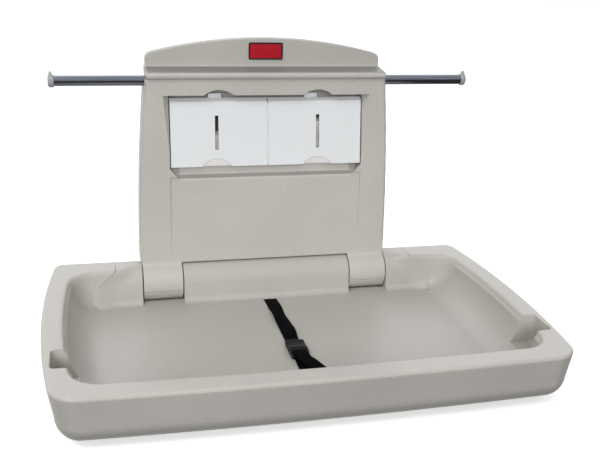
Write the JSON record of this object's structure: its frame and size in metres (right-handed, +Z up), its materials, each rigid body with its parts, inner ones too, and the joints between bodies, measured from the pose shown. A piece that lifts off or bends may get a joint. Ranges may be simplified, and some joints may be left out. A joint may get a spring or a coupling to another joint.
{
  "type": "baby changing station",
  "caption": "Wall-mounted changing station: a basin tray with a strap folds down on hinge knuckles from a panel with tilting liner doors and a cross bar for bags.",
  "frame": {"origin": "centre of the four wall screws, on the wall's face", "axes": "+Z up, +Y into the wall, +X to the right of someone who faces the open station"},
  "size_m": [0.8424, 0.578, 0.513],
  "materials": {
    "platinum_moulding": "fine moulded texture, satin",
    "white_moulding": "smooth, slightly glossy",
    "pale_moulding": "smooth satin",
    "nylon": "smooth",
    "zinc_steel": "zinc plated sheet",
    "fastener_steel": "zinc plated",
    "bar_aluminium": "drawn tube, polished",
    "plate_aluminium": "brushed, blank",
    "webbing": "woven polypropylene webbing",
    "buckle_plastic": "moulded acetal, satin",
    "paper": "crimped tissue paper stack"
  },
  "bodies": {
    "wall_unit": {"back_plate": "zinc_steel", "wall_bracket_left": "zinc_steel", "wall_bracket_right": "zinc_steel", "bracket_rivets": "fastener_steel", "hinge_pin_left": "fastener_steel", "hinge_pin_right": "fastener_steel", "pin_clips": "fastener_steel", "back_panel": "platinum_moulding", "panel_screws": "fastener_steel", "knuckle_cap_left": "platinum_moulding", "knuckle_cap_right": "platinum_moulding", "cap_screws": "fastener_steel", "hook_bar": "bar_aluminium", "bar_end_left": "pale_moulding", "bar_end_right": "pale_moulding", "bar_saddle_left": "nylon", "bar_saddle_right": "nylon", "saddle_screws": "fastener_steel", "door_pins": "fastener_steel", "liner_stack_left": "paper", "liner_stack_right": "paper", "name_plate": "plate_aluminium"},
    "tray": {"tray_shell": "platinum_moulding", "tray_underside": "platinum_moulding", "tray_bracket_left": "zinc_steel", "tray_bracket_right": "zinc_steel", "hinge_bushes": "nylon", "bracket_bolts": "fastener_steel", "cover_screws": "fastener_steel", "strap_anchor_rear": "zinc_steel", "strap_anchor_front": "zinc_steel", "strap_rear": "webbing", "strap_front": "webbing", "strap_tail": "webbing", "buckle_socket": "buckle_plastic", "buckle_plug": "buckle_plastic"},
    "door_left": {"door_left": "white_moulding"},
    "door_right": {"door_right": "white_moulding"}
  },
  "joints": [
    {"name": "tray_fold", "type": "hinge", "parent": "wall_unit", "child": "tray", "pos_m": [0, -0.053, -0.207], "axis": [-1, 0, 0], "range_deg": [0, 90]},
    {"name": "door_left_tilt", "type": "hinge", "parent": "wall_unit", "child": "door_left", "pos_m": [-0.093, -0.05515, 0.02854], "axis": [1, 0, 0], "range_deg": [0, 12]},
    {"name": "door_right_tilt", "type": "hinge", "parent": "wall_unit", "child": "door_right", "pos_m": [0.093, -0.05515, 0.02854], "axis": [1, 0, 0], "range_deg": [0, 12]}
  ]
}
